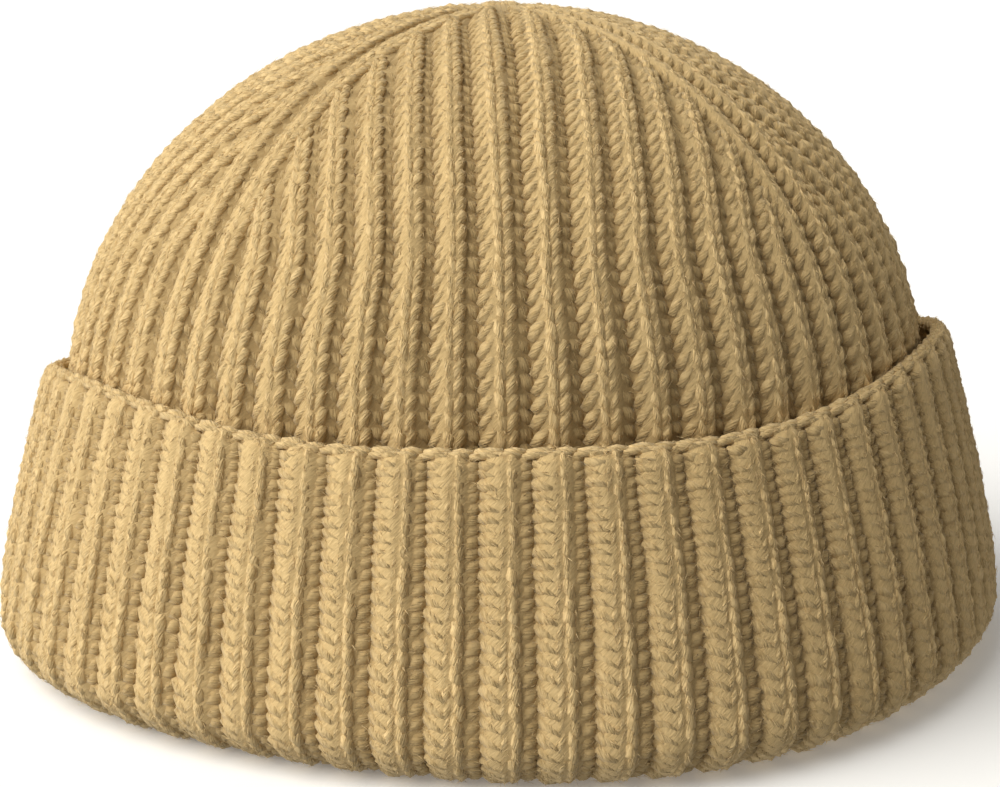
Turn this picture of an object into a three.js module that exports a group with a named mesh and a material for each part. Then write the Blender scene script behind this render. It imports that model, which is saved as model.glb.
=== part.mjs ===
// A chunky rib-knit watch cap with a turned-up cuff, standing on its folded edge.
// Millimetres, +Z up, the face side of the hat towards -Y, the origin at the centre of its footprint.
import * as THREE from 'three';

// Knitting: one rib is a raised column of stitches and the sunken one beside it
const ribs = 64;
const gores = 4;
const ribsPerGore = ribs / gores;
const ribDepth = 1.7;
const crestHalfWidth = 0.25;
const crownPitch = 7.38;
const ribSpacing = 2 * Math.PI / ribs;

// Fabric
const crownWall = 4.2;
const cuffWall = 3.8;
const pieceGap = 0.3;

// Crown: a quarter ellipse over a wall that spreads towards the fold
const crownRadius = 84.7;
const crownSpring = 49.7;
const crownTop = 125.3;
const wallSpread = 9.7;
const wallSpreadPower = 1.4;
const crownShiftAtHem = -1.26;
const crownShiftAtTop = 0.52;

// Cuff: the outer face, widest just above the rounded fold
const foldRadius = 100;
const foldRound = 8.66;
const foldTuck = 7.6;
const foldTuckPower = 2.2;
const hemRadius = 88.4;
const hemHeight = 57.7;
const flarePower = 1.3;
const ledgeHeight = 7;
const footOuter = 94.2;
const footInner = 90.8;
const cuffShift = 0.87;

// Front-to-back length over width
const foldDepthRatio = 1.041;
const hemDepthRatio = 1.05;
const crownDepthRatio = 1;

// Turn of the ribs about Z, in degrees: the fabric runs a little on the bias above the hem
const cuffTurn = 2.2;
const crownTurnAtHem = 3.1;
const crownTurnAtTop = 1.7;

// Sideways drift of the ribs where the knitting is stretched unevenly, in ribs: on the crown it is
// all in the front gore, from its middle to its right edge, and on the cuff it comes three times a turn
const frontDrift = 0.38;
const frontDriftStart = -0.15;
const steadyTop = 4;
const cuffDriftWaves = 3;
const cuffDriftAtFold = -0.11;
const cuffDriftAtHem = 0.17;

// Soft unevenness of each level's plan, as shares of its radius, in waves per turn from the front
const foldWaves = [
  { waves: 2, cosine: 0, sine: 0.0018 },
  { waves: 3, cosine: -0.0097, sine: 0 },
  { waves: 4, cosine: 0.0087, sine: 0.0216 },
];
const hemWaves = [
  { waves: 1, cosine: -0.02, sine: -0.0145 },
  { waves: 2, cosine: -0.0281, sine: -0.0034 },
  { waves: 3, cosine: 0.0052, sine: 0.0053 },
];
const crownWaves = [
  { waves: 2, cosine: 0, sine: 0.008 },
  { waves: 3, cosine: -0.0218, sine: 0 },
];

// Rise and dip of the hem, in millimetres
const hemHeightWaves = [
  { waves: 1, cosine: -0.66, sine: 1.87 },
  { waves: 2, cosine: -0.56, sine: -0.08 },
  { waves: 3, cosine: -2.06, sine: -1.29 },
  { waves: 4, cosine: -0.45, sine: 0.07 },
  { waves: 5, cosine: 1.37, sine: 0.47 },
];

// Heights at which each face has a ring of vertices; the dome's are angles on its quarter ellipse
const cuffFaceHeights = [0.8, 3.6, foldRound, 20, 33, 46, 56.2];
const cuffBackHeights = [55.6, 38, 22, foldRound];
const crownHiddenHeights = [ledgeHeight + pieceGap, 16, 30];
const crownRibHeights = [43];
const crownRibAngles = [1, 8, 16, 24, 30.5, 37.5, 45, 52.5, 59.5, 66, 72.5, 78.5];
const crownInnerAngles = [84, 72, 60, 48, 36, 24, 12, 0];
const crownInnerHeights = [28, ledgeHeight + pieceGap];

const mix = THREE.MathUtils.lerp;
const share = (value, from, to) => THREE.MathUtils.clamp((value - from) / (to - from), 0, 1);

function waveSum(table, angle) {
  let sum = 0;
  for (const row of table) {
    sum += row.cosine * Math.cos(row.waves * angle) + row.sine * Math.sin(row.waves * angle);
  }
  return sum;
}

// Angles start at the front, -Y, and grow towards +X
function place(angle, radius, z, depthRatio, shift) {
  return [radius * Math.sin(angle) + shift, -radius * depthRatio * Math.cos(angle), z];
}

function cuffFaceRadius(z) {
  if (z < foldRound) {
    return foldRadius - foldTuck * (1 - z / foldRound) ** foldTuckPower;
  }
  return foldRadius - (foldRadius - hemRadius) * share(z, foldRound, hemHeight) ** flarePower;
}

function cuffPoint(angle, radius, z) {
  const rise = share(z, 0, hemHeight);
  const plan = 1 + mix(waveSum(foldWaves, angle), waveSum(hemWaves, angle), rise);
  const lift = share(z, foldRound, hemHeight) * waveSum(hemHeightWaves, angle);
  return place(angle, radius * plan, z + lift, mix(foldDepthRatio, hemDepthRatio, rise), cuffShift);
}

// The crown's outer face at the rib crests: the dome above the spring line, the wall below it
function crownSection(level) {
  if (level.angle !== undefined) {
    const bend = THREE.MathUtils.degToRad(level.angle);
    const rise = crownTop - crownSpring;
    const normal = new THREE.Vector2(Math.cos(bend) / crownRadius, Math.sin(bend) / rise).normalize();
    const radius = crownRadius * Math.cos(bend);
    return { radius, z: crownSpring + rise * Math.sin(bend), out: normal.x, up: normal.y };
  }
  const drop = share(level.height, crownSpring, ledgeHeight + pieceGap);
  return { radius: crownRadius + wallSpread * drop ** wallSpreadPower, z: level.height, out: 1, up: 0 };
}

function crownPoint(angle, level, inset) {
  const section = crownSection(level);
  const drop = share(section.z, crownSpring, ledgeHeight + pieceGap);
  const climb = share(section.z, hemHeight, crownTop);
  const plan = 1 + mix(waveSum(crownWaves, angle), waveSum(foldWaves, angle), drop);
  const shift = mix(mix(crownShiftAtHem, crownShiftAtTop, climb), cuffShift, drop);
  const radius = section.radius * plan - inset * section.out;
  const depthRatio = mix(crownDepthRatio, foldDepthRatio, drop);
  return place(angle, radius, section.z - inset * section.up, depthRatio, shift);
}

function crownTurn(level) {
  const climb = share(crownSection(level).z, hemHeight, crownTop);
  return THREE.MathUtils.degToRad(mix(crownTurnAtHem, crownTurnAtTop, climb));
}

// A body under construction: rings of vertices, each vertex with its place round the ring in ribs
class Shell {
  constructor() {
    this.positions = [];
    this.triangles = [];
  }

  ring(stops) {
    const first = this.positions.length / 3;
    for (const stop of stops) {
      this.positions.push(...stop.point);
    }
    return { ids: stops.map((stop, i) => first + i), keys: stops.map((stop) => stop.key) };
  }

  // Joins two rings of any two counts, always stepping on the ring whose next vertex comes first
  join(lower, upper) {
    const last = [lower.ids.length, upper.ids.length];
    const id = (ring, i) => ring.ids[i % ring.ids.length];
    const key = (ring, i) => ring.keys[i % ring.keys.length] + (i < ring.ids.length ? 0 : ribs);
    let i = 0;
    let j = 0;
    while (i < last[0] || j < last[1]) {
      const stepLower = j === last[1] || (i < last[0] && key(lower, i + 1) <= key(upper, j + 1));
      if (stepLower) {
        this.triangles.push(id(lower, i), id(lower, i + 1), id(upper, j));
        i += 1;
      } else {
        this.triangles.push(id(lower, i), id(upper, j + 1), id(upper, j));
        j += 1;
      }
    }
  }

  point(position) {
    return this.ring([{ point: position, key: 0 }]).ids[0];
  }

  closeAbove(ring, tip) {
    ring.ids.forEach((id, i) => this.triangles.push(id, ring.ids[(i + 1) % ring.ids.length], tip));
  }

  closeBelow(tip, ring) {
    ring.ids.forEach((id, i) => this.triangles.push(tip, ring.ids[(i + 1) % ring.ids.length], id));
  }

  geometry() {
    const geometry = new THREE.BufferGeometry();
    geometry.setAttribute('position', new THREE.Float32BufferAttribute(this.positions, 3));
    geometry.setIndex(this.triangles);
    geometry.computeVertexNormals();
    return geometry;
  }
}

// Stops round one rib from its trough: the trough's foot, then both sides of the flat crest
const ribStops = [
  { at: 0, sunk: 1 },
  { at: 0.5 - crestHalfWidth, sunk: 0 },
  { at: 0.5 + crestHalfWidth, sunk: 0 },
];

function evenStops(count, pointAt) {
  const stops = [];
  for (let i = 0; i < count; i += 1) {
    const key = i * ribs / count;
    stops.push({ key, point: pointAt(key) });
  }
  return stops;
}

function cuffAngle(key, z) {
  const angle = THREE.MathUtils.degToRad(cuffTurn) + key * ribSpacing;
  const drift = mix(cuffDriftAtFold, cuffDriftAtHem, share(z, 0, hemHeight));
  return angle + drift * ribSpacing * Math.sin(cuffDriftWaves * angle);
}

// Cuff: hem, outer face, rounded fold with its flat foot, ledge under the crown's wall, back
function buildCuff() {
  const shell = new Shell();
  const ribbed = (radius, z, depth) => {
    const stops = [];
    for (let rib = 0; rib < ribs; rib += 1) {
      for (const stop of ribStops) {
        const key = rib + stop.at;
        stops.push({ key, point: cuffPoint(cuffAngle(key, z), radius - depth * stop.sunk, z) });
      }
    }
    return shell.ring(stops);
  };
  const plain = (radius, z) => {
    return shell.ring(evenStops(ribs, (key) => cuffPoint(cuffAngle(key, z), radius, z)));
  };
  const hemInset = 1.1;
  const hemBack = 2.8;
  const rings = [
    ribbed(footOuter, 0, ribDepth),
    ...cuffFaceHeights.map((z) => ribbed(cuffFaceRadius(z), z, ribDepth)),
    ribbed(hemRadius - hemInset, hemHeight, ribDepth / 2),
    plain(hemRadius - hemBack, hemHeight),
    ...cuffBackHeights.map((z) => plain(cuffFaceRadius(z) - cuffWall, z)),
    plain(cuffFaceRadius(ledgeHeight) - cuffWall - ribDepth / 4, ledgeHeight),
    plain(footInner, ledgeHeight),
    plain(footInner - ribDepth / 2, ledgeHeight / 2),
    plain(footInner, 0),
  ];
  rings.forEach((ring, i) => shell.join(ring, rings[(i + 1) % rings.length]));
  return shell.geometry();
}

// Ribs in one gore run side by side, and the outer ones end one after the other where they meet the
// pair of spine ribs that climb each gore's edge to the top
function goreSpan(level) {
  const { radius } = crownSection(level);
  const perRadian = Math.min(ribs / (2 * Math.PI), radius / crownPitch);
  return { perRadian, edge: perRadian * Math.PI / gores };
}

function goreStops(level) {
  const { edge } = goreSpan(level);
  const half = ribsPerGore / 2;
  const spine = Math.min(1, edge);
  const last = edge - spine;
  const clear = 0.2;
  const side = [{ across: 0, key: 0, sunk: 1 }];
  for (let rib = 0; rib < last; rib += 1) {
    for (const stop of ribStops) {
      const across = rib + stop.at;
      if (across > 0 && across < last - clear) {
        side.push({ across, key: across, sunk: stop.sunk });
      }
    }
  }
  if (last > clear) {
    side.push({ across: last, key: last, sunk: 1, spineFoot: true });
  }
  for (const stop of ribStops.slice(1)) {
    side.push({ across: last + stop.at * spine, key: half - 1 + stop.at, sunk: stop.sunk });
  }
  const mirrored = side.slice(1).reverse().map((stop) => {
    return { across: -stop.across, key: stop.spineFoot ? 1 - half : -stop.key, sunk: stop.sunk };
  });
  return [{ across: -edge, key: -half, sunk: 1 }, ...mirrored, ...side];
}

function driftAt(gore, across, edge) {
  if (gore !== 0) {
    return 0;
  }
  const swell = Math.sin(Math.PI * share(across / edge, frontDriftStart, 1));
  return frontDrift * Math.min(1, edge / steadyTop) * swell;
}

function buildCrown() {
  const shell = new Shell();
  const ribbed = (level) => {
    const { perRadian, edge } = goreSpan(level);
    const stops = [];
    for (let gore = 0; gore < gores; gore += 1) {
      for (const stop of goreStops(level)) {
        const across = stop.across + driftAt(gore, stop.across, edge);
        const angle = crownTurn(level) + gore * 2 * Math.PI / gores + across / perRadian;
        const key = (gore + 0.5) * ribsPerGore + stop.key;
        stops.push({ key, point: crownPoint(angle, level, ribDepth * stop.sunk) });
      }
    }
    return shell.ring(stops);
  };
  const plain = (level, inset, count) => {
    const start = crownTurn(level) - Math.PI / gores;
    return shell.ring(evenStops(count, (key) => crownPoint(start + key * ribSpacing, level, inset)));
  };
  const outer = [
    ...crownHiddenHeights.map((height) => plain({ height }, 0, ribs)),
    ...crownRibHeights.map((height) => ribbed({ height })),
    ...crownRibAngles.map((angle) => ribbed({ angle })),
  ];
  const inner = [
    ...crownInnerAngles.map((angle) => plain({ angle }, crownWall, angle > 50 ? ribs / 2 : ribs)),
    ...crownInnerHeights.map((height) => plain({ height }, crownWall, ribs)),
  ];
  outer.slice(1).forEach((ring, i) => shell.join(outer[i], ring));
  shell.closeAbove(outer.at(-1), shell.point(crownPoint(0, { angle: 90 }, 0)));
  shell.closeBelow(shell.point(crownPoint(0, { angle: 90 }, crownWall)), inner[0]);
  inner.slice(1).forEach((ring, i) => shell.join(inner[i], ring));
  shell.join(inner.at(-1), outer[0]);
  return shell.geometry();
}

const wool = { color: 0xcda869, roughness: 0.95, metalness: 0 };

const crown = new THREE.Mesh(buildCrown(), new THREE.MeshStandardMaterial(wool));
crown.name = 'crown';

const cuff = new THREE.Mesh(buildCuff(), new THREE.MeshStandardMaterial(wool));
cuff.name = 'cuff';

const hat = new THREE.Group();
hat.add(crown, cuff);

// Both pieces move together so that the footprint is centred on the origin
const footprint = new THREE.Box3().setFromObject(hat).getCenter(new THREE.Vector3());
hat.position.set(-footprint.x, -footprint.y, 0);

export default hat;
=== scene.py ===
from math import cos, pi, radians, sin

import bpy
import numpy as np
from mathutils import Matrix, Vector


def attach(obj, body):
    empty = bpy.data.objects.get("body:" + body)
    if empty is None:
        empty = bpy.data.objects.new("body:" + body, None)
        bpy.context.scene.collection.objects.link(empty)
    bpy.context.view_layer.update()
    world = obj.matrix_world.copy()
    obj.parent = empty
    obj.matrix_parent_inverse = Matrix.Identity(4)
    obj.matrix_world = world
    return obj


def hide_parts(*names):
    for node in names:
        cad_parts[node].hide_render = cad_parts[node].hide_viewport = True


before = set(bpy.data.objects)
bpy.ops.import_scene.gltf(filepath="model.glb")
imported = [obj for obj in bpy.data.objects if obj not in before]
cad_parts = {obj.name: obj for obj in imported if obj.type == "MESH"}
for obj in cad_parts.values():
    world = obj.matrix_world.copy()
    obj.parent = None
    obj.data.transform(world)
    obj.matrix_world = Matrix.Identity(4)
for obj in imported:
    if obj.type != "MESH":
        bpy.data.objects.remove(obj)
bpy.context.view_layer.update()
MM = 0.001


# The yarn
# A chunky two-ply carded wool, spun soft, so that each leg of a stitch is a plump spindle.
# Every stitch is laid from the leg that is modelled here, with fewer sides where it hardly shows.

yarn_radius = 0.93 * MM
shoulders = (0.5, 0.95)  # the rings of a leg that are filled out lie between these heights
uneven_yarn = 0.05
pressed_height = 0.5 * MM  # below this height the hat's weight presses the yarn flat
fibre_run = 60  # mm of fibres, from which each leg shows its own stretch


def spindle(segments, ring_count, belly):
    """Corners, their share of the length, faces and UVs of one plump leg, a unit sphere made fuller."""
    bpy.ops.object.select_all(action="DESELECT")
    bpy.ops.mesh.primitive_uv_sphere_add(segments=segments, ring_count=ring_count, radius=1.0)
    leg = bpy.context.object
    bpy.ops.object.mode_set(mode="EDIT")
    bpy.ops.mesh.select_all(action="DESELECT")
    bpy.ops.object.mode_set(mode="OBJECT")
    for vertex in leg.data.vertices:
        vertex.select = shoulders[0] < abs(vertex.co.z) < shoulders[1]
    bpy.ops.object.mode_set(mode="EDIT")
    bpy.ops.transform.resize(value=(belly, belly, 1.0))
    bpy.ops.object.mode_set(mode="OBJECT")
    points = np.array([vertex.co[:] for vertex in leg.data.vertices])
    faces = [tuple(face.vertices) for face in leg.data.polygons]
    uv = np.array([loop.uv[:] for loop in leg.data.uv_layers[0].data])
    bpy.data.objects.remove(leg)
    return points, (points[:, 2] + 1) / 2, faces, uv


plump_leg = spindle(5, 4, 1.22)
plain_leg = spindle(4, 4, 1.2)

# A loose end of wool is a thin cone. Its root lies at these shares of a leg's length and radius,
# turned round the leg in radians. It leaves the leg's line sideways and outwards by shares of its
# length, and its length and radius are in mm.
hair_place = (0.2, 0.8)
hair_root = 0.88
hair_turn = 0.7
hair_sideways = 0.35
hair_rise = (0.02, 0.3)
hair_length = (0.8, 2.4)
hair_radius = (0.04, 0.075)
bpy.ops.object.select_all(action="DESELECT")
bpy.ops.mesh.primitive_cone_add(vertices=3, radius1=1.0, depth=2.0)
hair = bpy.context.object
hair_points = np.array([vertex.co[:] for vertex in hair.data.vertices])
loose_hair = (hair_points, (hair_points[:, 2] + 1) / 2, [tuple(face.vertices) for face in hair.data.polygons],
              np.array([loop.uv[:] for loop in hair.data.uv_layers[0].data]))
bpy.data.objects.remove(hair)


def bezier(t):
    """Shares of the four control points of a leg's path, at t along it."""
    return np.stack([(1 - t) ** 3, 3 * t * (1 - t) ** 2, 3 * t * t * (1 - t), t ** 3], -1)


def bezier_slope(t):
    """The same for the path's direction."""
    return np.stack([-3 * (1 - t) ** 2, 3 * (1 - t) * (1 - 3 * t), 3 * t * (2 - 3 * t), 3 * t * t], -1)


def unit(v):
    """The vectors at length one."""
    return v / np.maximum(np.linalg.norm(v, axis=-1, keepdims=True), 1e-9)


class Stitches:
    """Legs of yarn gathered for one piece: their paths, outward directions, radii and depths, which set their
    painted shade.
    """

    def __init__(self, seed, shape=plump_leg):
        self.batches = []
        self.random = np.random.default_rng(seed)
        self.points, self.along, self.faces, self.uv = shape

    def lay(self, paths, outward, radius, depth):
        """paths is (legs, 4, 3), outward (legs, 3), radius (legs,), depth (legs, 4): 0 deep, in full painted
        shade, to 1 proud, with none.
        """
        self.batches.append((paths, outward, radius, depth))

    def fuzz(self, count):
        """Loose ends of wool that stand a little off the legs, as stitches of their own."""
        paths, outward, radius, depth = (np.concatenate(part) for part in zip(*self.batches))
        chosen = self.random.integers(0, len(paths), count)
        paths, outward, radius, depth = paths[chosen], outward[chosen], radius[chosen], depth[chosen]
        t = self.random.uniform(*hair_place, count)
        root = np.einsum("nk,nkc->nc", bezier(t), paths)
        along = unit(np.einsum("nk,nkc->nc", bezier_slope(t), paths))
        side = unit(np.cross(along, outward))
        rise = np.cross(side, along)
        turn = self.random.normal(0, hair_turn, (count, 1))
        off = side * np.sin(turn) + rise * np.cos(turn)
        root = root + off * radius[:, None] * hair_root
        way = along * self.random.choice([-1, 1], (count, 1))
        way = way + side * self.random.normal(0, hair_sideways, (count, 1))
        way = unit(way) + off * self.random.uniform(*hair_rise, (count, 1))
        tip = root + unit(way) * (self.random.uniform(*hair_length, (count, 1)) * MM)
        steps = np.linspace(0, 1, 4)[None, :, None]
        hairs = Stitches(7, loose_hair)
        # Each loose end takes the painted shade of the leg that it grows from, from the leg's mean depth.
        hairs.lay(root[:, None] + (tip - root)[:, None] * steps, off,
                  self.random.uniform(*hair_radius, count) * MM, depth.mean(1)[:, None] * np.ones((1, 4)))
        return hairs

    def mesh(self, name):
        """One piece with all the legs, the yarn's UV map, a tone for each leg and how proud it lies, which
        sets its painted shade.
        """
        paths, outward, radius, depth = (np.concatenate(part) for part in zip(*self.batches))
        count = len(paths)
        weight = bezier(self.along)
        centre = np.einsum("vk,nkc->nvc", weight, paths)
        along = unit(np.einsum("vk,nkc->nvc", bezier_slope(self.along), paths))
        side = unit(np.cross(along, outward[:, None, :]))
        rise = np.cross(side, along)
        across = self.points[None, :, 0, None] * side + self.points[None, :, 1, None] * rise
        corners = len(self.points)
        thickness = radius[:, None, None] * self.random.normal(1, uneven_yarn, (count, corners, 1))
        points = centre + thickness * across
        low = points[..., 2] < pressed_height
        points[low, 2] = pressed_height * np.exp(points[low, 2] / pressed_height - 1)
        data = bpy.data.meshes.new(name)
        sizes = np.array([len(face) for face in self.faces])
        flat = np.concatenate([np.array(face) for face in self.faces])
        loops = (flat[None, :] + corners * np.arange(count)[:, None]).ravel()
        data.vertices.add(count * corners)
        data.vertices.foreach_set("co", points.ravel())
        data.loops.add(len(loops))
        data.loops.foreach_set("vertex_index", loops)
        data.polygons.add(count * len(sizes))
        totals = np.tile(sizes, count)
        data.polygons.foreach_set("loop_start", np.concatenate([[0], np.cumsum(totals)[:-1]]))
        data.update(calc_edges=True)
        data.validate()
        data.shade_smooth()
        length = np.linalg.norm(paths[:, 3] - paths[:, 0], axis=-1) / MM
        start = self.random.uniform(0, fibre_run, count)
        uv = data.uv_layers.new(name="yarn")
        loop_uv = np.empty((count, len(self.uv), 2))
        loop_uv[..., 0] = self.uv[None, :, 0]
        loop_uv[..., 1] = start[:, None] + self.uv[None, :, 1] * length[:, None]
        uv.data.foreach_set("uv", loop_uv.ravel())
        tone = data.attributes.new("tone", "FLOAT", "POINT")
        tone.data.foreach_set("value", np.repeat(self.random.uniform(0, 1, count), corners))
        # How proud each point lies, from which the wool paints its shade: low values get the deep colour.
        proud = data.attributes.new("proud", "FLOAT", "POINT")
        proud.data.foreach_set("value", np.einsum("vk,nk->nv", weight, depth).ravel())
        piece = bpy.data.objects.new(name, data)
        bpy.context.collection.objects.link(piece)
        return piece


class Wire:
    """A node's output socket that can be written in sums and products."""

    def __init__(self, graph, socket):
        self.graph = graph
        self.socket = socket

    def _math(self, operation, a, b):
        return self.graph.node("ShaderNodeMath", {"operation": operation}, {0: a, 1: b})

    def __add__(self, other):
        return self._math("ADD", self, other)

    def __radd__(self, other):
        return self._math("ADD", other, self)

    def __sub__(self, other):
        return self._math("SUBTRACT", self, other)

    def __rsub__(self, other):
        return self._math("SUBTRACT", other, self)

    def __mul__(self, other):
        return self._math("MULTIPLY", self, other)

    def __rmul__(self, other):
        return self._math("MULTIPLY", other, self)


class Graph:
    """The nodes of one material."""

    def __init__(self, name):
        self.material = bpy.data.materials.new(name)
        self.material.use_nodes = True
        self.tree = self.material.node_tree
        self.shader = self.tree.nodes["Principled BSDF"]

    def node(self, kind, settings, inputs, output=0):
        """A node with its settings and the values or wires of its inputs, as a wire from one output."""
        made = self.tree.nodes.new(kind)
        for key, value in settings.items():
            setattr(made, key, value)
        for key, value in inputs.items():
            self.feed(made.inputs[key], value)
        return Wire(self, made.outputs[output])

    def feed(self, socket, value):
        if isinstance(value, Wire):
            self.tree.links.new(value.socket, socket)
        else:
            socket.default_value = value


# The wool's pattern runs round the yarn, which is 0 to 1, and along it in mm. Twist is in turns
# for each mm along, and a scale is the number of features round the yarn and for each mm.
twist = 0.17
fibre_scale = (19.0, 0.8)
strand_scale = (7.0, 1.3)
patch_scale = 28.0
fibre_contrast, strand_contrast = 3.1, 1.8
tone_share, patch_share, lightness = 0.22, 0.5, 0.3
bump_strength, bump_height, bump_strands = 0.65, 0.6 * MM, 0.8


def wool_material(name, light, dark, deep, streak):
    """Matt carded wool: fine fibres that twist round the yarn, soft patches, and painted shade in its depths.

    light and dark are the colours of its fibres, deep is the colour of the shade painted between the
    legs, where the yarn lies deep, and streak is how strongly the fibres show."""
    graph = Graph(name)
    shader = graph.shader
    yarn = graph.node("ShaderNodeUVMap", {"uv_map": "yarn"}, {})
    around = graph.node("ShaderNodeSeparateXYZ", {}, {0: yarn})
    along = Wire(graph, around.socket.node.outputs[1])
    turn = around + along * twist
    fibre_place = graph.node(
        "ShaderNodeCombineXYZ", {}, {0: turn * fibre_scale[0], 1: along * fibre_scale[1], 2: 0.0})
    fibre = graph.node("ShaderNodeTexNoise", {}, {"Vector": fibre_place, "Scale": 1.0, "Detail": 2.0})
    strand_place = graph.node(
        "ShaderNodeCombineXYZ", {}, {0: turn * strand_scale[0], 1: along * strand_scale[1], 2: 3.0})
    strand = graph.node("ShaderNodeTexNoise", {}, {"Vector": strand_place, "Scale": 1.0, "Detail": 3.0})
    tone = graph.node("ShaderNodeAttribute", {"attribute_name": "tone"}, {}, 2)
    proud = graph.node("ShaderNodeAttribute", {"attribute_name": "proud"}, {}, 2)
    position = graph.node("ShaderNodeTexCoord", {}, {}, 3)
    patch = graph.node("ShaderNodeTexNoise", {}, {"Vector": position, "Scale": patch_scale, "Detail": 2.0})
    mixed = ((fibre - 0.5) * (fibre_contrast * streak) + (strand - 0.5) * (strand_contrast * streak)
             + tone * tone_share + patch * patch_share + lightness)
    colour = graph.node(
        "ShaderNodeMix", {"data_type": "RGBA"}, {0: mixed, 6: dark, 7: light}, 2)
    # The fibres' colour is mixed towards the deep colour, a painted shade, where the yarn lies deep.
    shaded = graph.node(
        "ShaderNodeMix", {"data_type": "RGBA"}, {0: proud, 6: deep, 7: colour}, 2)
    graph.feed(shader.inputs["Base Color"], shaded)
    bump = graph.node("ShaderNodeBump", {}, {
        "Strength": bump_strength * streak, "Distance": bump_height, "Height": fibre + strand * bump_strands})
    graph.feed(shader.inputs["Normal"], bump)
    shader.inputs["Roughness"].default_value = 0.92
    shader.inputs["Specular IOR Level"].default_value = 0.15
    shader.inputs["Sheen Weight"].default_value = 0.35
    shader.inputs["Sheen Roughness"].default_value = 0.45
    shader.inputs["Sheen Tint"].default_value = (1.0, 0.86, 0.62, 1.0)
    return graph.material


# The yarn of the stitches, and its loose ends, which are painted lighter, as fibres that stand off the yarn
# catch the light. Both have painted shade where they lie deep.
wool = wool_material(
    "camel_wool", light=(0.80, 0.585, 0.29, 1.0), dark=(0.54, 0.375, 0.165, 1.0),
    deep=(0.36, 0.245, 0.105, 1.0), streak=1.2)
painted_light_loose_wool = wool_material(
    "camel_wool_loose_painted_light", light=(0.88, 0.67, 0.36, 1.0), dark=(0.72, 0.52, 0.25, 1.0),
    deep=(0.52, 0.37, 0.17, 1.0), streak=0.3)


# The crown
# One tube of wide rib that closes in four gores: on each side of a decrease line a spine rib
# keeps its width, and the ribs of the gore run up parallel until they end against it.

# Sizes in mm and turns in degrees. A wave is the cosine and the sine share of the radius, under
# the number of times that it goes round.
ribs = 64
gores = 4
gore_ribs = ribs // gores
half_gore = gore_ribs // 2
crown_pitch = 7.38
crown_radius = 84.7
crown_spring = 49.7  # the height at which the dome springs from the wall
crown_top = 125.3
crown_depth_ratio = 1.0  # from front to back against across
wall_spread = 9.7  # how much wider the wall is at its foot
wall_spread_power = 1.4
wall_foot = 7.3
crown_shift = (-1.26, 0.52)  # to the right, at the hem and at the top
crown_turn = (3.1, 1.7)
crown_waves = {2: (0, 0.008), 3: (-0.0218, 0)}
fold_waves = {2: (0, 0.0018), 3: (-0.0097, 0), 4: (0.0087, 0.0216)}
fold_depth_ratio = 1.041
hem_height = 57.7
cuff_shift = 0.87
footprint_centre = (0.453, 1.073)
front_drift = 0.38  # in ribs
front_drift_start = -0.15  # as a share of the gore's half width
steady_top = 4  # the half width in ribs at which the drift starts to fade
crown_wall = 4.2


def share(value, low, high):
    """How far value has come from low to high, from 0 to 1."""
    return np.clip((value - low) / (high - low), 0, 1)


def mix(a, b, part):
    """The value that lies part of the way from a to b."""
    return a + (b - a) * part


def waves(table, phi):
    """The sum of the table's waves at the angle phi from the front."""
    return sum(c * np.cos(k * phi) + s * np.sin(k * phi) for k, (c, s) in table.items())


def place(phi, r, z, depth_ratio, shift):
    """A point on a ring of radius r at height z, deepened from front to back and shifted to the right."""
    x = r * np.sin(phi) + shift - footprint_centre[0]
    y = -r * depth_ratio * np.cos(phi) - footprint_centre[1]
    return np.stack([x, y, z + 0 * phi], -1)


arc_angle = np.linspace(0, pi / 2, 1500)
dome_height = crown_top - crown_spring
below = np.linspace(wall_foot, crown_spring, 300)[:-1]
section_r = np.concatenate([
    crown_radius + wall_spread * ((crown_spring - below) / (crown_spring - wall_foot)) ** wall_spread_power,
    crown_radius * np.cos(arc_angle)])
section_z = np.concatenate([below, crown_spring + dome_height * np.sin(arc_angle)])
section_s = np.concatenate([[0], np.cumsum(np.hypot(np.diff(section_r), np.diff(section_z)))])
section_s -= np.interp(crown_spring, section_z, section_s)
slope_r = np.gradient(section_r, section_s)
slope_z = np.gradient(section_z, section_s)


def crown_point(phi, s, out):
    """A point out mm outside the crest of the ribs, s mm up the section from where the dome springs."""
    r = np.interp(s, section_s, section_r)
    z = np.interp(s, section_s, section_z)
    drop = share(-z, -crown_spring, -wall_foot)
    climb = share(z, hem_height, crown_top)
    plan = 1 + mix(waves(crown_waves, phi), waves(fold_waves, phi), drop)
    shift = mix(mix(crown_shift[0], crown_shift[1], climb), cuff_shift, drop)
    lean_r = np.interp(s, section_s, slope_z)
    lean_z = -np.interp(s, section_s, slope_r)
    ratio = mix(crown_depth_ratio, fold_depth_ratio, drop)
    return place(phi, r * plan + out * lean_r, z + out * lean_z, ratio, shift)


def crown_field(s):
    """Ribs per radian and the rib number at a gore's edge, s mm up the section."""
    per_radian = np.minimum(ribs / (2 * pi), np.interp(s, section_s, section_r) / crown_pitch)
    return per_radian, per_radian * pi / gores


def crown_turn_at(s):
    """How far the gores are turned to the right, s mm up the section, in radians."""
    climb = share(np.interp(s, section_s, section_z), hem_height, crown_top)
    return np.radians(mix(crown_turn[0], crown_turn[1], climb))


def drift_at(u, edge):
    """How far the ribs of the front gore lie to the right of an even spacing, in ribs."""
    return front_drift * np.minimum(1, edge / steady_top) * np.sin(pi * share(u / edge, front_drift_start, 1))


def crown_phi(gore, u, s):
    """The angle from the front of the place u ribs from the middle of a gore."""
    per_radian, edge = crown_field(s)
    drift = drift_at(u, edge) if gore == 0 else 0
    return crown_turn_at(s) + gore * 2 * pi / gores + (u + drift) / per_radian


def crown_row(s):
    """The height of a row of stitches in mm, s mm up the section."""
    return np.interp(s, (10, 20, 38, 70, 110), (3.05, 3.1, 2.85, 2.78, 2.6))


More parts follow.
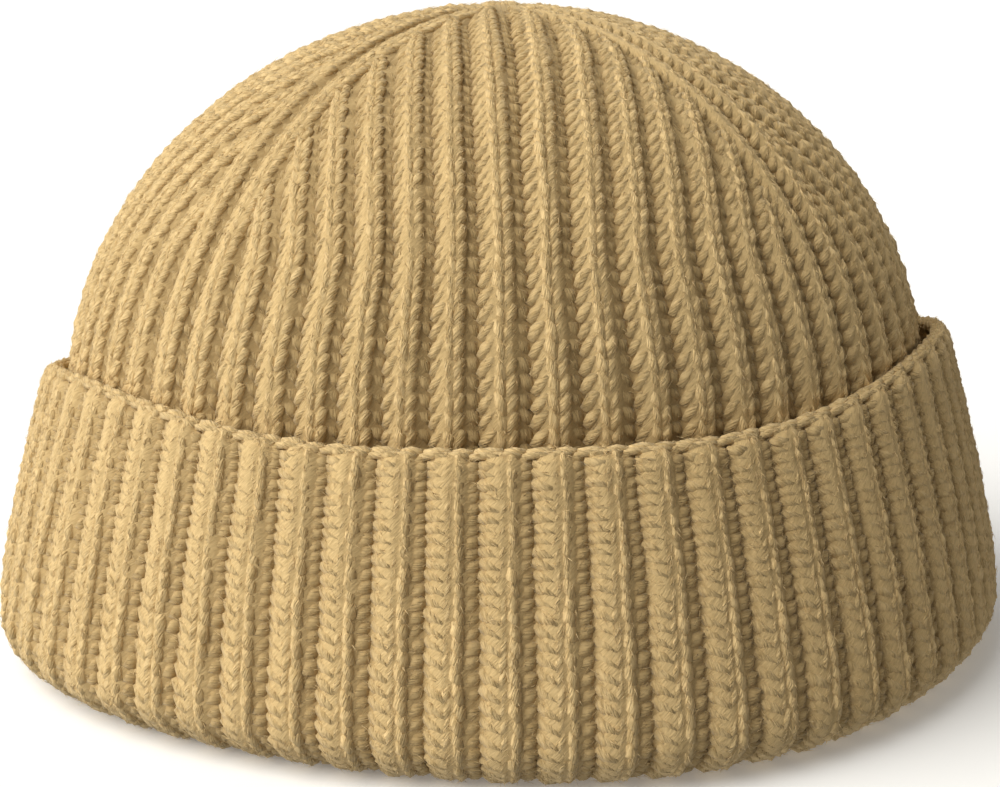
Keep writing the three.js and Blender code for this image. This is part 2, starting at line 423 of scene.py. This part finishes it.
def rows_along(line, s_line):
    """Rows of stitches counted along a rib's middle line."""
    steps = np.linalg.norm(np.diff(line, axis=0), axis=-1)
    return np.concatenate([[0], np.cumsum(steps / crown_row(s_line[1:]))])


# Where each leg of a stitch goes: sideways in ribs from the middle of its own, up in rows, and
# how far the yarn's outside stands proud of the skin in mm, each for the four control points of
# its path. The last number is its thickness against the plain yarn.
crown_legs = {
    "leaf": ((-0.345, -0.31, -0.17, -0.05), (-0.30, 0.00, 0.60, 0.95), (-0.95, -0.30, -0.02, -0.2), 1.27),
    "centre": ((0.085, 0.045, -0.035, -0.085), (-0.45, -0.15, 0.60, 0.98), (-0.4, 0.32, 0.40, -0.35), 1.14),
    "right": ((0.13, 0.155, 0.22, 0.26), (-0.50, -0.15, 0.50, 0.93), (-0.4, 0.15, 0.05, -0.5), 1.18),
    "trough": ((-0.40, -0.46, -0.60, -0.68), (0.02, 0.22, 0.62, 0.88), (-1.5, -0.95, -0.95, -1.5), 1.32),
}
# The depths in mm below which the yarn has its full painted shade and above which it has none. The
# columns on top of a rib start lighter, with less of the painted shade.
deepest, leaf_deepest, shallowest = -2.9, -2.6, -0.9
top_columns, top_painted_light = ("centre", "right"), 0.4
# How far the knitting is from even: sideways in ribs, up in rows, in depth in mm and in thickness,
# and how a whole rib wanders sideways, evened out over a few rows.
uneven_rib, uneven_row, uneven_depth, uneven_radius = 0.012, 0.035, 0.07, 0.045
wander, wander_rows = 0.024, 5
# A leaf that lies flatter turns about this place in its row, by these powers.
leaf_pivot, flatter_up, flatter_across = 0.35, 1.6, 0.25
# At the edge of a gore's field a stitch is left out where it has less room than this in ribs, and
# before that it dips under the spine rib, in mm.
least_room, least_trough_room = -0.35, 0.15
dip_room, dip_depth, dip_power = (-0.4, 0.2), 0.6, 1.5
# The yarn is drawn thinner where ribs or rows are closer than the crown's.
gauge_range, gauge_power = (0.5, 1.3), 0.7
plain_row, row_gauge_range = 2.85, (0.6, 1.05)
row_gauge_power = {"leaf": 0.2, "centre": 0.5, "right": 0.5}
rng = np.random.default_rng(11)


def lay_column(stitches, point, s_line, u_line, width_line, rows, first, last, table, legs,
               limit=None, splay=None, row_height=None, lowest=None):
    """Lays one rib's stitches along its middle line, from the row first up to the row last.

    point(u, s, out) gives the place on the knitted skin; s_line, u_line and width_line give the
    line's height on the section, its rib number and the rib's width; rows counts rows along it.
    table holds the legs' paths and legs names those that are laid. limit(s) is the edge of the
    gore's field, splay(s) how flat the leaf lies, row_height(s) the height of a row, and lowest
    the depth that no leg goes below."""
    numbers = np.arange(first, last)
    if len(numbers) == 0:
        return
    sideways = rng.normal(0, wander, len(numbers) + wander_rows - 1)
    sideways = np.convolve(sideways, np.ones(wander_rows) / wander_rows, "valid")
    for name in legs:
        across, up, proud, thick = (np.array(part) for part in table[name])
        lie = np.ones((len(numbers), 1))
        if splay is not None and name == "leaf":
            lie = splay(np.interp(numbers, rows, s_line))[:, None]
        row = numbers[:, None] + leaf_pivot + (up[None, :] - leaf_pivot) / lie ** flatter_up
        row = row + rng.normal(0, uneven_row, (len(numbers), 1))
        s = np.interp(row, rows, s_line)
        width = np.interp(row, rows, width_line)
        lean = across[None, :] * lie ** flatter_across
        u = np.interp(row, rows, u_line) + width * (lean + sideways[:, None])
        u = u + rng.normal(0, uneven_rib, (len(numbers), 1))
        out = proud[None, :] - yarn_radius * thick / MM + rng.normal(0, uneven_depth, (len(numbers), 1))
        out = np.maximum(out, lowest) if lowest is not None else out
        keep = np.ones(len(numbers), bool)
        if limit is not None:
            room = limit(s) - np.abs(u)
            least = least_trough_room if name == "trough" and u_line[0] < 0 else least_room
            keep = room[:, 1:3].mean(1) > least
            out = out - dip_depth * (1 - share(room, *dip_room)) ** dip_power
        s, u, out, width = s[keep], u[keep], out[keep], width[keep]
        if not len(s):
            continue
        middle_u, middle_s, middle_out = (value[:, 1:3].mean(1) for value in (u, s, out))
        path = point(u, s, out) * MM
        foot = point(middle_u, middle_s, middle_out)
        top = point(middle_u, middle_s, middle_out + 1.0)
        pitch = point(middle_u + 0.5, middle_s, 0) - point(middle_u - 0.5, middle_s, 0)
        pitch = np.linalg.norm(pitch, axis=-1) * width.mean(1)
        gauge = np.clip(pitch / crown_pitch, *gauge_range) ** gauge_power
        row_gauge = 1.0
        if row_height is not None and name in row_gauge_power:
            row_gauge = np.clip(row_height(middle_s) / plain_row, *row_gauge_range) ** row_gauge_power[name]
        radius = yarn_radius * thick * gauge * row_gauge * rng.normal(1, uneven_radius, len(s))
        # How much light is painted on the leg: yarn that lies deep gets painted shade.
        depth = share(out, leaf_deepest if name == "leaf" else deepest, shallowest)
        depth = mix(top_painted_light, 1, depth) if name in top_columns else depth
        stitches.lay(path, unit(top - foot), radius, depth)


crown_low, crown_high = -4.0, section_s[-1] - 0.6
run_on = 1.1  # ribs by which a rib runs on under the spine rib that it ends against
# The last loops are drawn together over the top: how far they are turned from the middle of the
# gore in radians, and how far down from the top and how far out their control points lie, in mm.
gather_turns = np.array([-0.6, -0.2, 0.2, 0.6])[:, None]
gather_down = np.array([5.2, 3.4, 1.6, -0.2])[None, :]
gather_out = np.array([-2.0, -0.75, -0.55, -0.9])[None, :]
gather_radius, uneven_gather = 1.05 * MM, 0.25
loose_ends = 6300
gore_names = ("front", "right", "back", "left")
for gore in range(gores):
    stitches = Stitches(100 + gore)
    s_line = np.linspace(crown_low, crown_high, 500)
    per_radian, edge = crown_field(s_line)
    spine = np.minimum(1, edge)

    def gore_point(u, s, out):
        return crown_point(crown_phi(gore, u, s), s, out)

    def field_edge(s):
        edge_here = crown_field(s)[1]
        return edge_here - np.minimum(1, edge_here)

    for rib in range(1 - half_gore, 1 + half_gore):
        middle = rib - 0.5
        on_spine = abs(middle) > half_gore - 1
        if on_spine:
            u_line = np.sign(middle) * (edge - spine / 2)
            width_line = spine
        else:
            u_line = np.full_like(s_line, middle)
            width_line = np.ones_like(s_line)
        rows = rows_along(gore_point(u_line, s_line, 0 * s_line), s_line)
        if on_spine:
            last_row = int(rows[-1])
        else:
            last_row = int(rows[(edge - spine + run_on > abs(middle)).sum() - 1]) - 1
        lay_column(stitches, gore_point, s_line, u_line, width_line, rows, 0, last_row,
                   crown_legs, crown_legs, None if on_spine else field_edge)
        if rib == 1 - half_gore:
            lay_column(stitches, gore_point, s_line, spine - edge + 0.5, width_line, rows, 0, last_row,
                       crown_legs, ("trough",))
    gather_phi = crown_phi(gore, 0.0, crown_high) + gather_turns
    gather_s = section_s[-1] - gather_down + rng.normal(0, uneven_gather, (4, 1))
    gather_s = np.minimum(gather_s, section_s[-1])
    gather_path = crown_point(gather_phi + 0 * gather_s, gather_s, gather_out + 0 * gather_phi) * MM
    stitches.lay(gather_path, np.array([[0.0, 0.0, 1.0]] * 4), np.full(4, gather_radius), np.ones((4, 4)))
    for piece, paint in ((stitches.mesh("crown_knit_" + gore_names[gore]), wool),
                         (stitches.fuzz(loose_ends).mesh("crown_fuzz_" + gore_names[gore]), painted_light_loose_wool)):
        piece.data.materials.append(paint)
        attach(piece, "root")
        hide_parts("crown")


# The cuff
# The same rib turned up over itself, so that its stitches hang upside down: it flares from the
# hem down to a soft fold, and goes round under the hat to become the inner wall.

# Sizes in mm, turns in degrees and waves as for the crown. The waves of the hem's height are in mm.
cuff_turn = 2.2
cuff_drift_waves = 3
cuff_drift = (-0.11, 0.17)
hem_radius = 88.4
fold_radius = 100.0
fold_round = 8.66
fold_tuck = 7.6
fold_tuck_power = 2.2
flare_power = 1.3
hem_depth_ratio = 1.05
hem_waves = {1: (-0.02, -0.0145), 2: (-0.0281, -0.0034), 3: (0.0052, 0.0053)}
hem_height_waves = {
    1: (-0.66, 1.87), 2: (-0.56, -0.08), 3: (-2.06, -1.29), 4: (-0.45, 0.07), 5: (1.37, 0.47)}
rim_round = 1.9
rim_back = 16.0
cuff_wall = 3.8
# Radius and height of the fold's foot, which the hat rests on, and of the start of the inner wall.
foot_r = [93.2, 92.4, 91.4, 90.7, 90.35, 90.2, 90.15]
foot_z = [0.35, 0.3, 0.35, 0.7, 1.6, 3.6, 7.0]


def face_radius(z):
    """The radius of the cuff's flared face at the height z."""
    return fold_radius - (fold_radius - hem_radius) * share(z, fold_round, hem_height) ** flare_power


# The cuff's skin in section, from the back of the hem over its rim and down the face to the foot.
back_z = np.linspace(hem_height - rim_back, hem_height - rim_round, 60)[:-1]
rim_angle = np.linspace(pi, 0, 40)
face_z = np.linspace(hem_height - rim_round, fold_round, 240)[1:]
round_z = fold_round * np.cos(np.linspace(0, pi / 2, 60))[1:-3]
skin_r = np.concatenate([
    face_radius(back_z) - cuff_wall,
    hem_radius - rim_round + rim_round * np.cos(rim_angle),
    face_radius(face_z),
    fold_radius - fold_tuck * (1 - round_z / fold_round) ** fold_tuck_power,
    foot_r])
skin_z = np.concatenate([
    back_z,
    hem_height - rim_round + rim_round * np.sin(rim_angle),
    face_z,
    round_z,
    foot_z])
skin_s = np.concatenate([[0], np.cumsum(np.hypot(np.diff(skin_r), np.diff(skin_z)))])
skin_s -= skin_s[len(back_z) + len(rim_angle) // 2]
smooth_s = np.linspace(skin_s[0], skin_s[-1], 1100)
skin_r, skin_z = np.interp(smooth_s, skin_s, skin_r), np.interp(smooth_s, skin_s, skin_z)
skin_s = smooth_s
blur_steps = 13
blur = np.hanning(2 * blur_steps + 1)
blur = blur / blur.sum()
lean_r = np.convolve(np.pad(-np.gradient(skin_z, skin_s), blur_steps, mode="edge"), blur, "valid")
lean_z = np.convolve(np.pad(np.gradient(skin_r, skin_s), blur_steps, mode="edge"), blur, "valid")


def cuff_point(phi, s, out):
    """A point out mm outside the crest of the cuff's ribs, s mm along it from the top of the hem's rim."""
    r = np.interp(s, skin_s, skin_r) + out * np.interp(s, skin_s, lean_r)
    z = np.interp(s, skin_s, skin_z) + out * np.interp(s, skin_s, lean_z)
    rise = share(z, 0, hem_height)
    plan = 1 + mix(waves(fold_waves, phi), waves(hem_waves, phi), rise)
    lift = share(z, fold_round, hem_height) * waves(hem_height_waves, phi)
    return place(phi, r * plan, z + lift, mix(fold_depth_ratio, hem_depth_ratio, rise), cuff_shift)


def cuff_rib_point(u, s, out):
    """The same for the place u ribs round from the front."""
    phi = radians(cuff_turn) + u * 2 * pi / ribs
    rise = share(np.interp(s, skin_s, skin_z), 0, hem_height)
    drift = mix(cuff_drift[0], cuff_drift[1], rise) * np.sin(cuff_drift_waves * phi)
    return cuff_point(phi + drift * 2 * pi / ribs, s, out)


def cuff_row(s):
    """The height of a row of stitches in mm, which the hem and the fold squeeze."""
    return np.interp(s, (5, 12, 20, 27, 34, 42, 50, 58), (1.95, 1.85, 2.0, 2.3, 2.5, 2.8, 2.6, 2.4))


def cuff_splay(s):
    """How flat the leaves lie, which is more near the hem, where the rows are closest."""
    return np.interp(s, (2, 10, 30), (1.35, 1.3, 1.0))


# The legs of the cuff's stitches, as for the crown.
cuff_legs = {
    "leaf": ((-0.38, -0.30, -0.11, 0.03), (-0.30, 0.05, 0.55, 0.85), (-1.0, -0.33, 0.04, -0.1), 1.18),
    "centre": ((0.06, 0.04, -0.01, -0.04), (-0.55, -0.15, 0.60, 1.00), (-0.5, 0.02, 0.12, -0.4), 0.98),
    "right": ((0.15, 0.175, 0.215, 0.245), (-0.60, -0.20, 0.60, 1.02), (-0.4, 0.2, 0.18, -0.45), 1.16),
    "trough": ((-0.40, -0.46, -0.60, -0.68), (0.02, 0.22, 0.60, 0.86), (-1.35, -0.75, -0.75, -1.35), 1.3),
}

cuff_s = np.linspace(1.0, skin_s[-1], 500)
cuff_rows = np.concatenate([[0], np.cumsum(np.diff(cuff_s) / cuff_row(cuff_s[1:]))])
for quarter in range(gores):
    stitches = Stitches(200 + quarter)
    for rib in range(gore_ribs):
        middle = np.full_like(cuff_s, (quarter - 0.5) * gore_ribs + rib + 0.5)
        lay_column(stitches, cuff_rib_point, cuff_s, middle, np.ones_like(cuff_s), cuff_rows,
                   0, int(cuff_rows[-1]) + 1, cuff_legs, cuff_legs, None, cuff_splay, cuff_row)
    for piece, paint in ((stitches.mesh("cuff_knit_" + gore_names[quarter]), wool),
                         (stitches.fuzz(loose_ends).mesh("cuff_fuzz_" + gore_names[quarter]), painted_light_loose_wool)):
        piece.data.materials.append(paint)
        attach(piece, "root")
        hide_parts("cuff")


# The hem
# The cast-off edge of the cuff: a chain of long loops that bridges each valley and each rib, with
# the yarn of the last row rolled over to the back, which shows above the crown.

chain_links = {  # sideways in ribs, along from the rim's top in mm, out in mm, thickness
    "bridge": ((-0.64, -0.50, -0.22, -0.04), (2.0, 1.5, 1.2, 1.4), (-1.5, -0.65, -0.55, -1.3), 0.88),
    "short": ((-0.12, 0.02, 0.25, 0.42), (1.4, 1.2, 1.3, 1.8), (-1.3, -0.65, -0.65, -1.6), 0.85),
    "crest": ((-0.58, -0.35, -0.10, 0.10), (-0.3, 0.1, 0.0, -0.4), (-1.3, -0.7, -0.7, -1.3), 1.0),
    "crest_short": ((0.02, 0.15, 0.35, 0.52), (-0.5, -0.1, -0.1, -0.5), (-1.3, -0.8, -0.8, -1.3), 0.95),
    "back": ((-0.62, -0.40, -0.10, 0.12), (-2.0, -1.7, -1.7, -2.1), (-1.3, -0.9, -0.9, -1.3), 1.0),
    "back_short": ((0.0, 0.15, 0.35, 0.5), (-2.2, -1.9, -1.9, -2.2), (-1.3, -0.9, -0.9, -1.3), 1.0),
}
purl_legs = {  # the same for each row of the back, with the second number along in rows
    "wide": ((-0.45, -0.25, 0.0, 0.18), (-0.1, 0.35, 0.35, -0.1), (-1.5, -0.9, -0.9, -1.5), 1.0),
    "narrow": ((0.05, 0.2, 0.4, 0.55), (-0.45, -0.15, -0.15, -0.45), (-1.7, -1.1, -1.1, -1.7), 0.95),
}
purl_top, purl_row, purl_rows = -4.0, 2.1, 5
uneven_link, uneven_link_along, uneven_link_out, uneven_link_radius = 0.015, 0.08, 0.06, 0.05
# The links of the hem get at most half of the painted shade.
hem_painted_light = 0.5
hem_loose_ends = 2000
hem = Stitches(300, plain_leg)
hem_ribs = np.arange(ribs) + 0.5


def lay_links(table, start, row_height):
    """Lays each leg of the table on every rib, start mm along the skin from the top of the rim."""
    for across, down, out, thick in table.values():
        u = hem_ribs[:, None] + np.array(across)[None, :] + rng.normal(0, uneven_link, (ribs, 1))
        s = start + row_height * np.array(down)[None, :] + rng.normal(0, uneven_link_along, (ribs, 1))
        level = np.array(out)[None, :] + 0 * u + rng.normal(0, uneven_link_out, (ribs, 1))
        path = cuff_rib_point(u, s, level) * MM
        middle_u, middle_s = u[:, 1:3].mean(1), s[:, 1:3].mean(1)
        lean = cuff_rib_point(middle_u, middle_s, 0.0) - cuff_rib_point(middle_u, middle_s, -1.0)
        radius = yarn_radius * thick * rng.normal(1, uneven_link_radius, ribs)
        hem.lay(path, unit(lean), radius, mix(hem_painted_light, 1, share(level, deepest, shallowest)))


lay_links(chain_links, 0.0, 1.0)
for row in range(purl_rows):
    lay_links(purl_legs, purl_top - row * purl_row, purl_row)
for piece, paint in ((hem.mesh("cuff_hem_chain"), wool),
                     (hem.fuzz(hem_loose_ends).mesh("cuff_hem_fuzz"), painted_light_loose_wool)):
    piece.data.materials.append(paint)
    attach(piece, "root")
    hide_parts("cuff")


# The inside of the hat
# The wrong side of the rib: the outside's valleys stand up as ribs towards the head, from the
# fold up to where the gores close. Its stitches are the same yarn seen from behind.

inner_low, inner_high = section_s[0] - 0.5, section_s[-1] - 6.0
inner_legs = ("leaf", "centre")
inner_lowest = -1.3
inner_run_on = 0.2
for gore in range(gores):
    stitches = Stitches(400 + gore, plain_leg)
    s_line = np.linspace(inner_low, inner_high, 500)
    per_radian, edge = crown_field(s_line)
    spine = np.minimum(1, edge)

    def inner_point(u, s, out):
        return crown_point(crown_phi(gore, u, s), s, -crown_wall - out)

    for rib in range(1 - half_gore, 1 + half_gore):
        if rib == half_gore:
            u_line = edge
        elif abs(rib) == half_gore - 1:
            u_line = np.sign(rib) * (edge - spine)
        else:
            u_line = np.full_like(s_line, float(rib))
        rows = rows_along(inner_point(u_line, s_line, 0 * s_line), s_line)
        in_field = abs(rib) < half_gore - 1
        end = rows[(edge - spine + inner_run_on > abs(rib)).sum() - 1] if in_field else rows[-1]
        lay_column(stitches, inner_point, s_line, u_line, np.ones_like(s_line), rows, 0, int(end),
                   crown_legs, inner_legs, lowest=inner_lowest)
    piece = stitches.mesh("crown_inside_" + gore_names[gore])
    piece.data.materials.append(wool)
    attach(piece, "root")
    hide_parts("crown")


# The body of the knitting
# Between the plump legs the felted fibres of each loop close the holes, so that a rib reads as one
# soft ridge with shallow seams. It is a thin closed sheet in the crown's knitting and one in the cuff's.

# The sheet's wool, with painted shade in the valleys and at the holes where it shows between the legs.
wool_body = wool_material(
    "camel_wool_body", light=(0.76, 0.55, 0.265, 1.0), dark=(0.50, 0.345, 0.15, 1.0),
    deep=(0.34, 0.23, 0.1, 1.0), streak=0.6)
body_around = 12 * ribs
body_key = np.arange(body_around) * ribs / body_around
body_turn = body_key * 2 * pi / ribs
# Across one rib, from its middle: how far the body lies under the crest in mm, and how much light is painted
# on it; the valleys and the holes beside the middle column get painted shade.
body_across = (-0.5, -0.41, -0.33, -0.25, -0.08, 0.0, 0.08, 0.17, 0.25, 0.33, 0.41, 0.5)
body_out = (-1.75, -2.05, -1.38, -0.64, -0.23, -0.21, -0.45, -0.33, -0.57, -1.2, -1.6, -1.75)
body_painted_light = (0.1, 0.0, 0.3, 0.8, 0.95, 0.9, 0.45, 0.85, 0.8, 0.5, 0.2, 0.15)
column_turn = 0.14  # how far the fibres turn from one column of the sheet to the next


def sheet_mesh(name, grid, light):
    """A closed sheet from rings of points in mm, (rings, around, 3), the last joined to the first, with light
    the share of painted light at each point, the rest painted shade.
    """
    rings, around = grid.shape[:2]
    faces = []
    index = np.arange(around)
    after = np.roll(index, -1)
    for ring in range(rings):
        a, b = ring * around, (ring + 1) % rings * around
        faces.append(np.stack([a + index, a + after, b + after, b + index], -1))
    faces = np.concatenate(faces)
    data = bpy.data.meshes.new(name)
    data.from_pydata((grid.reshape(-1, 3) * MM).tolist(), [], faces.tolist())
    data.update()
    data.shade_smooth()
    up = np.cumsum(np.linalg.norm(np.diff(grid[:, :1], axis=0, prepend=grid[:1, :1]), axis=-1), axis=0)
    places = np.stack([index * column_turn + 0 * up, up + np.zeros(around)], -1).reshape(-1, 2)
    uv = data.uv_layers.new(name="yarn")
    uv.data.foreach_set("uv", places[faces.ravel()].ravel())
    tone = data.attributes.new("tone", "FLOAT", "POINT")
    tone.data.foreach_set("value", np.full(rings * around, 0.5))
    proud = data.attributes.new("proud", "FLOAT", "POINT")
    proud.data.foreach_set("value", light.ravel())
    piece = bpy.data.objects.new(name, data)
    bpy.context.collection.objects.link(piece)
    piece.data.materials.append(wool_body)
    return piece


def crown_across(phi, s):
    """Where a point lies across its own rib, from -0.5 to 0.5."""
    quarter = 2 * pi / gores
    turned = phi - crown_turn_at(s)
    local = (turned + quarter / 2) % quarter - quarter / 2
    per_radian, edge = crown_field(s)
    u = local * per_radian
    front = np.abs((turned + pi) % (2 * pi) - pi) < quarter / 2
    u = np.where(front, u - drift_at(u, edge), u)
    spine = np.abs(u) > edge - 1
    return np.where(spine, np.sign(u) * (np.abs(u) - edge + 0.5), (u % 1) - 0.5)


# The outside of the sheet follows the ribs, and its back is smooth and hidden, in full painted shade.
crown_ends, crown_back = (section_s[0] + 0.5, section_s[-1] - 0.02), -3.2
crown_rings, back_rings = 34, 7
rings, light = [], []
for s in np.linspace(*crown_ends, crown_rings)[::-1]:
    across = crown_across(body_turn, s)
    rings.append(crown_point(body_turn, s + 0 * body_turn, np.interp(across, body_across, body_out)))
    light.append(np.interp(across, body_across, body_painted_light))
for s in np.linspace(*crown_ends, back_rings):
    rings.append(crown_point(body_turn, s + 0 * body_turn, crown_back))
    light.append(0 * body_turn)
crown_body = sheet_mesh("crown_body", np.array(rings), np.array(light))
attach(crown_body, "root")
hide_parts("crown")

# The cuff is stretched wider, so its valleys are shallower and the shade painted in them is lighter.
cuff_ends, cuff_back, cuff_rings = (0.9, skin_s[-1] - 3), -2.9, 26
cuff_relief, cuff_sink, cuff_painted_light = 0.85, 0.08, 0.25
across = (body_key % 1) - 0.5
cuff_out = cuff_relief * np.interp(across, body_across, body_out) - cuff_sink
rings, light = [], []
for s in np.linspace(*cuff_ends, cuff_rings):
    rings.append(cuff_rib_point(body_key, s + 0 * body_key, cuff_out))
    light.append(mix(cuff_painted_light, 1, np.interp(across, body_across, body_painted_light)))
# The hidden back of the cuff's sheet is in full painted shade.
for s in np.linspace(*cuff_ends, back_rings)[::-1]:
    rings.append(cuff_rib_point(body_key, s + 0 * body_key, cuff_back))
    light.append(0 * body_key)
cuff_body = sheet_mesh("cuff_body", np.array(rings), np.array(light))
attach(cuff_body, "root")
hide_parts("cuff")


# The floor, the light and the camera
# A pale matt floor, a large soft light high on the left, a weak warm one low behind the right side, a
# sky that is brighter on the left, and a camera that looks down on the hat by twelve degrees.

bpy.ops.object.select_all(action="DESELECT")
bpy.ops.mesh.primitive_plane_add(size=60.0, location=(0, 0, -0.2 * MM))
floor = bpy.context.object
floor.name = "floor"
floor_paint = Graph("pale_floor")
floor_paint.shader.inputs["Base Color"].default_value = (0.93, 0.93, 0.93, 1.0)
floor_paint.shader.inputs["Roughness"].default_value = 0.9
floor_paint.shader.inputs["Emission Color"].default_value = (1.0, 1.0, 1.0, 1.0)
floor_paint.shader.inputs["Emission Strength"].default_value = 0.12
floor.data.materials.append(floor_paint.material)
floor.visible_diffuse = False

key_light = bpy.data.lights.new("key", "SUN")
key_light.energy = 3.42
key_light.angle = radians(70)
key_light.color = (1.0, 0.975, 0.91)
key = bpy.data.objects.new("key", key_light)
bpy.context.collection.objects.link(key)
key_azimuth, key_elevation = radians(-72), radians(43)
key_side = Vector((sin(key_azimuth), -cos(key_azimuth), 0))
key_from = key_side * cos(key_elevation) + Vector((0, 0, sin(key_elevation)))
key.rotation_euler = (-key_from).to_track_quat("-Z", "Y").to_euler()

rim_light = bpy.data.lights.new("rim", "SUN")
rim_light.energy = 1.05
rim_light.angle = radians(60)
rim_light.color = (1.0, 0.94, 0.80)
rim = bpy.data.objects.new("rim", rim_light)
bpy.context.collection.objects.link(rim)
rim_toward = Vector((-0.95, -0.35, -0.15))
rim.rotation_euler = rim_toward.to_track_quat("-Z", "Y").to_euler()

sky_level = 0.38
sky_slope = (-0.40, -0.05, -0.13)  # how much brighter the sky is towards +X, +Y and +Z
world = bpy.data.worlds.new("studio")
bpy.context.scene.world = world
world.use_nodes = True
background = world.node_tree.nodes["Background"]
background.inputs["Color"].default_value = (1.0, 1.0, 1.0, 1.0)
toward = world.node_tree.nodes.new("ShaderNodeTexCoord")
slope = world.node_tree.nodes.new("ShaderNodeVectorMath")
slope.operation = "DOT_PRODUCT"
slope.inputs[1].default_value = sky_slope
sky = world.node_tree.nodes.new("ShaderNodeMath")
sky.operation = "ADD"
sky.use_clamp = True
sky.inputs[1].default_value = sky_level
world.node_tree.links.new(toward.outputs["Generated"], slope.inputs[0])
world.node_tree.links.new(slope.outputs["Value"], sky.inputs[0])
world.node_tree.links.new(sky.outputs[0], background.inputs["Strength"])
bpy.context.scene.view_settings.view_transform = "Standard"

aim = Vector((-0.59, -1.08, 46.2)) * MM
camera_distance = 0.4386
camera_elevation = radians(11.88)
camera_roll = radians(-0.49)
focal_pixels = 2137
photo_width = 1000
sensor_width = 36
camera_data = bpy.data.cameras.new("camera")
camera_data.sensor_width = sensor_width
camera_data.lens = focal_pixels * sensor_width / photo_width
camera_data.clip_start = 0.01
camera = bpy.data.objects.new("camera", camera_data)
bpy.context.collection.objects.link(camera)
camera.location = aim + Vector((0, -cos(camera_elevation), sin(camera_elevation))) * camera_distance
look = (aim - camera.location).to_track_quat("-Z", "Y").to_matrix()
camera.rotation_euler = (look @ Matrix.Rotation(camera_roll, 3, "Z")).to_euler()
bpy.context.scene.camera = camera
